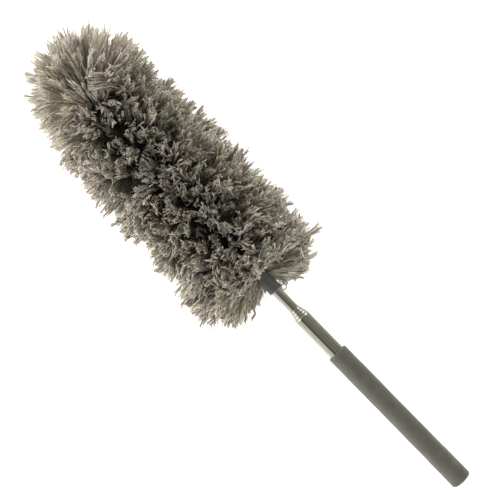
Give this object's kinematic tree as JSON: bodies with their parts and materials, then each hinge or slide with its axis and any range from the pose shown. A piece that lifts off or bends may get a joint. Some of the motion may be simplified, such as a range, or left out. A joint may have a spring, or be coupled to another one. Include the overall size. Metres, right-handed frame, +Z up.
{
  "type": "telescopic yarn duster",
  "caption": "Duster with a thick round head of cut yarn on a twisted wire core, a collar, nested steel tubes that slide out on friction bushes, and a long closed sleeve grip.",
  "frame": {"origin": "middle of the footprint on the surface that the duster lies on", "axes": "+X from the butt of the grip towards the head, +Z up; the pole's axis lies in the XZ plane and rises 7.5 degrees towards the head"},
  "size_m": [0.6272, 0.15, 0.1523],
  "materials": {
    "grip_rubber": "satin",
    "plug_plastic": "satin",
    "tube_steel": "satin",
    "bush_brass": "satin",
    "collar_plastic": "satin",
    "wire_steel": "satin",
    "yarn": "matte",
    "yarn_tip": "matte"
  },
  "bodies": {
    "handle": {"grip_sleeve": "grip_rubber", "end_plug": "plug_plastic", "outer_tube": "tube_steel"},
    "second_stage": {"second_tube": "tube_steel", "second_bush": "bush_brass"},
    "third_stage": {"third_tube": "tube_steel", "third_bush": "bush_brass"},
    "fourth_stage": {"fourth_tube": "tube_steel", "fourth_bush": "bush_brass"},
    "rod_carrier": {"rod_bush": "bush_brass"},
    "head": {"rod": "tube_steel", "rod_insert": "wire_steel", "collar": "collar_plastic", "core_wire": "wire_steel", "pile_band_1": "yarn", "pile_band_2": "yarn", "pile_band_3": "yarn", "pile_band_4": "yarn", "pile_band_5": "yarn", "pile_band_6": "yarn", "pile_tip_tuft": "yarn_tip"}
  },
  "joints": [
    {"name": "second_slide", "type": "slide", "parent": "handle", "child": "second_stage", "axis": [0.9914, 0, 0.1305], "range_m": [0, 0.197]},
    {"name": "third_slide", "type": "slide", "parent": "second_stage", "child": "third_stage", "axis": [0.9914, 0, 0.1305], "range_m": [0, 0.197]},
    {"name": "fourth_slide", "type": "slide", "parent": "third_stage", "child": "fourth_stage", "axis": [0.9914, 0, 0.1305], "range_m": [0, 0.197]},
    {"name": "rod_slide", "type": "slide", "parent": "fourth_stage", "child": "rod_carrier", "axis": [0.9914, 0, 0.1305], "range_m": [0, 0.197]},
    {"name": "head_spin", "type": "hinge", "parent": "rod_carrier", "child": "head", "pos_m": [-0.04569, 0, 0.04609], "axis": [0.9914, 0, 0.1305], "continuous": true}
  ]
}
